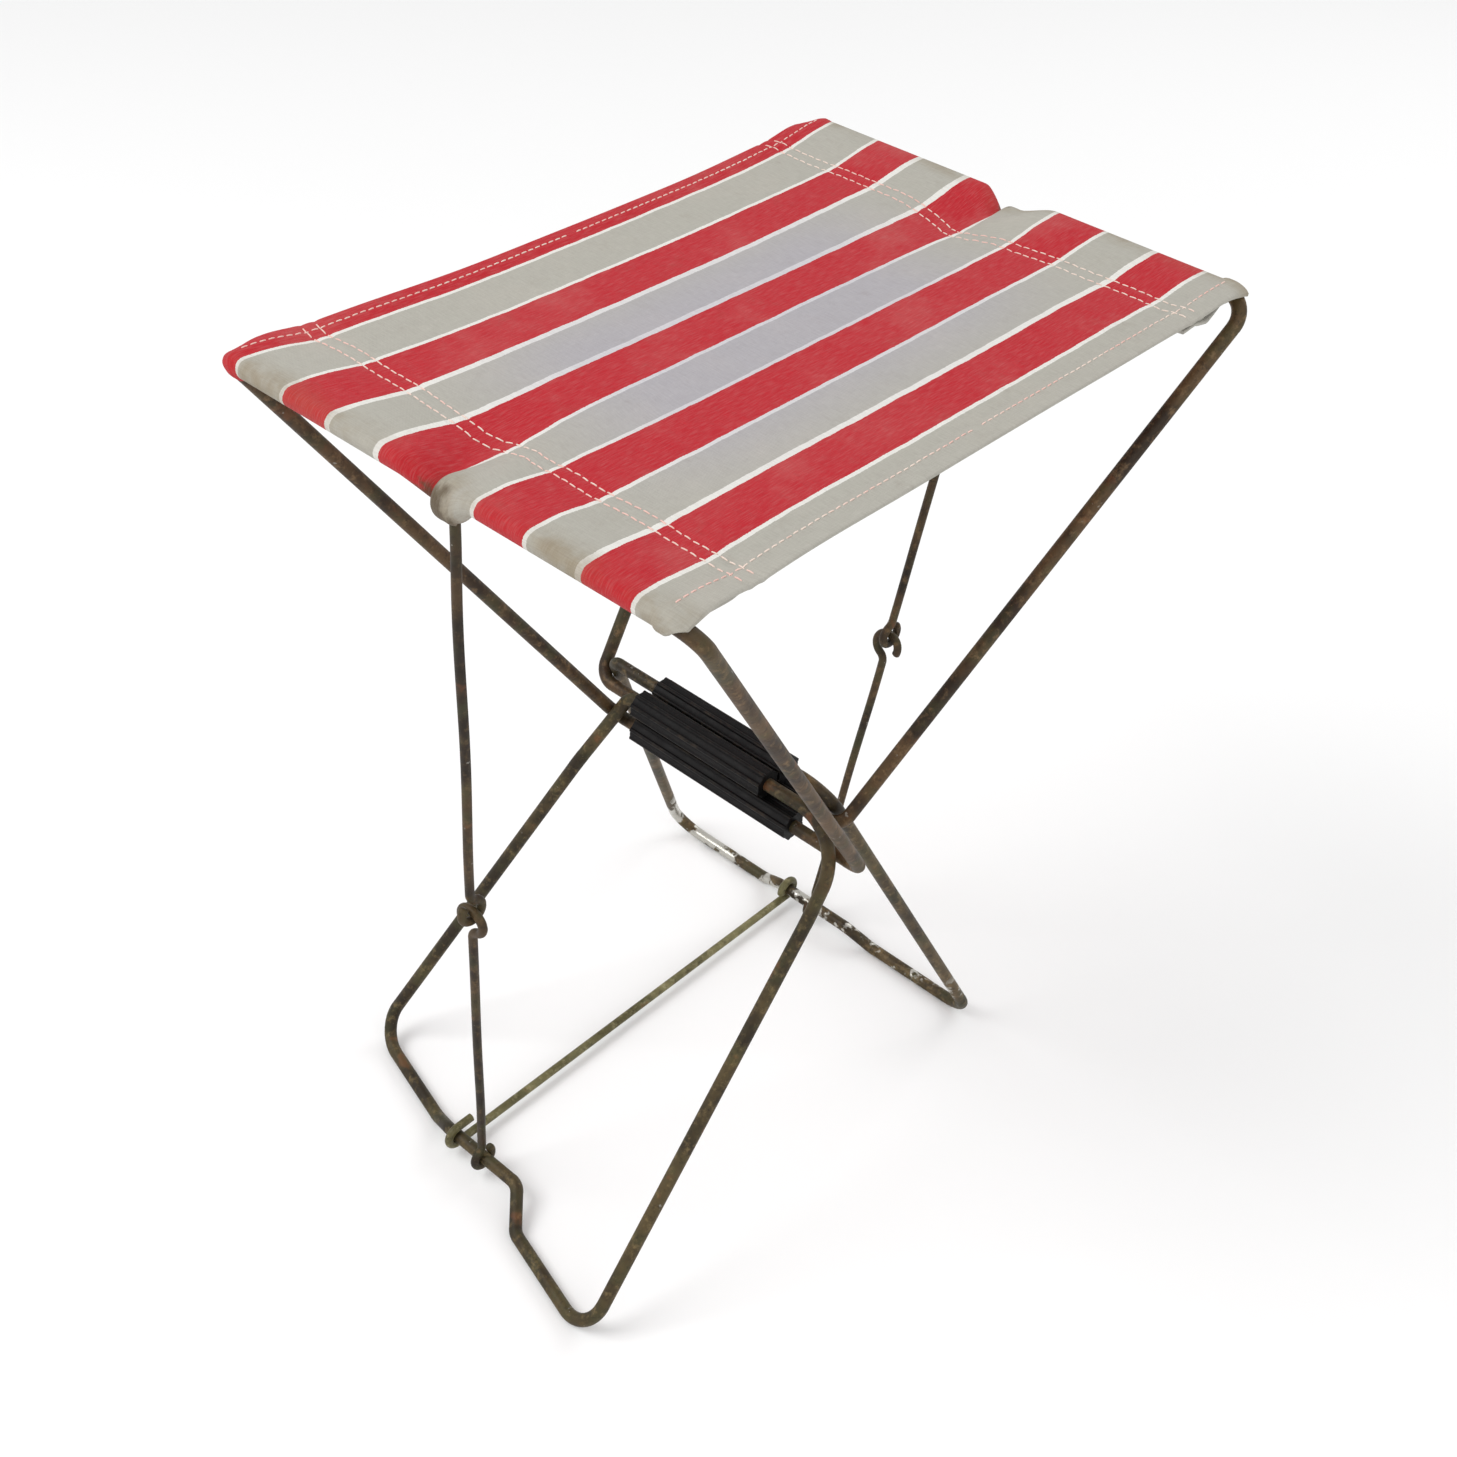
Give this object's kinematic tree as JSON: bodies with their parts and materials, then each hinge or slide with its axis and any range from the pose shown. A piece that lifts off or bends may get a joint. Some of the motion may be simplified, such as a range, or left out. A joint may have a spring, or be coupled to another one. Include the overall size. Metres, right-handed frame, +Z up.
{
  "type": "folding camp stool",
  "caption": "Folding camp stool of bent round wire with a striped canvas seat, a ribbed grip bundle as its pivot, jointed side links and a hooked tie rod between the feet.",
  "frame": {"origin": "centre of the bounding box on the floor", "axes": "+Z up, +X to the right along the seat rails and the grips, +Y from the front rail to the rear rail"},
  "size_m": [0.2474, 0.3272, 0.4132],
  "materials": {
    "hoop_wire": "worn plating, mottled brown patina",
    "link_wire": "worn plating, dull olive brown",
    "tie_wire": "dull olive grey steel",
    "grip": "satin black, lengthwise ribs",
    "canvas": "woven red and grey stripes parted by white lines",
    "thread": "matt sewing thread"
  },
  "bodies": {
    "grips": {"front_upper_grip": "grip", "rear_upper_grip": "grip", "front_lower_grip": "grip", "rear_lower_grip": "grip", "seat_panel": "canvas", "front_casing_thread": "thread", "rear_casing_thread": "thread", "left_hem_thread": "thread", "right_hem_thread": "thread"},
    "front_upper": {"front_upper_hoop": "hoop_wire", "front_casing": "canvas"},
    "rear_upper": {"rear_upper_hoop": "hoop_wire", "rear_casing": "canvas"},
    "front_lower": {"front_lower_hoop": "hoop_wire"},
    "rear_lower": {"rear_lower_hoop": "hoop_wire"},
    "front_link_upper": {"front_link_upper": "link_wire"},
    "front_link_lower": {"front_link_lower": "link_wire"},
    "rear_link_upper": {"rear_link_upper": "link_wire"},
    "rear_link_lower": {"rear_link_lower": "link_wire"},
    "tie": {"tie_rod": "tie_wire"}
  },
  "joints": [
    {"name": "fold", "type": "hinge", "parent": "grips", "child": "rear_lower", "pos_m": [0.00801, 0.0069, 0.2039], "axis": [1, 0, 0], "range_deg": [0, 135]},
    {"name": "front_lower_fold", "type": "hinge", "parent": "grips", "child": "front_lower", "pos_m": [0.00801, -0.0069, 0.2039], "axis": [1, 0, 0], "range_deg": [-135.02, 0]},
    {"name": "rear_upper_fold", "type": "hinge", "parent": "grips", "child": "rear_upper", "pos_m": [0.00801, 0.0069, 0.1901], "axis": [1, 0, 0], "range_deg": [0, 33.02]},
    {"name": "front_upper_fold", "type": "hinge", "parent": "grips", "child": "front_upper", "pos_m": [0.00801, -0.0069, 0.1901], "axis": [1, 0, 0], "range_deg": [-33.02, 0], "deforming": ["seat_panel", "left_hem_thread", "right_hem_thread", "front_casing_thread", "rear_casing_thread"]},
    {"name": "front_link_upper_swing", "type": "hinge", "parent": "front_upper", "child": "front_link_upper", "pos_m": [0.00801, -0.15431, 0.40062], "axis": [1, 0, 0], "range_deg": [0, 11.62]},
    {"name": "front_link_lower_swing", "type": "hinge", "parent": "front_lower", "child": "front_link_lower", "pos_m": [-0.02099, -0.12552, 0.01109], "axis": [1, 0, 0], "range_deg": [-55.24, 0]},
    {"name": "rear_link_upper_swing", "type": "hinge", "parent": "rear_upper", "child": "rear_link_upper", "pos_m": [0.00801, 0.15431, 0.40062], "axis": [1, 0, 0], "range_deg": [-20.02, 0]},
    {"name": "rear_link_lower_swing", "type": "hinge", "parent": "rear_lower", "child": "rear_link_lower", "pos_m": [-0.02099, 0.11277, 0.01109], "axis": [1, 0, 0], "range_deg": [0, 42.47]},
    {"name": "tie_swing", "type": "hinge", "parent": "rear_lower", "child": "tie", "pos_m": [-0.03899, 0.11277, 0.01109], "axis": [-1, 0, 0], "range_deg": [0, 50]}
  ],
  "couplings": [
    {"joint": "front_lower_fold", "follows": "fold", "ratio": -1},
    {"joint": "rear_upper_fold", "follows": "fold", "ratio": 0.24444},
    {"joint": "front_upper_fold", "follows": "fold", "ratio": -0.24444},
    {"joint": "front_link_upper_swing", "follows": "fold", "ratio": 0.085963},
    {"joint": "front_link_lower_swing", "follows": "fold", "ratio": -0.40905},
    {"joint": "rear_link_upper_swing", "follows": "fold", "ratio": -0.14818},
    {"joint": "rear_link_lower_swing", "follows": "fold", "ratio": 0.31445}
  ]
}
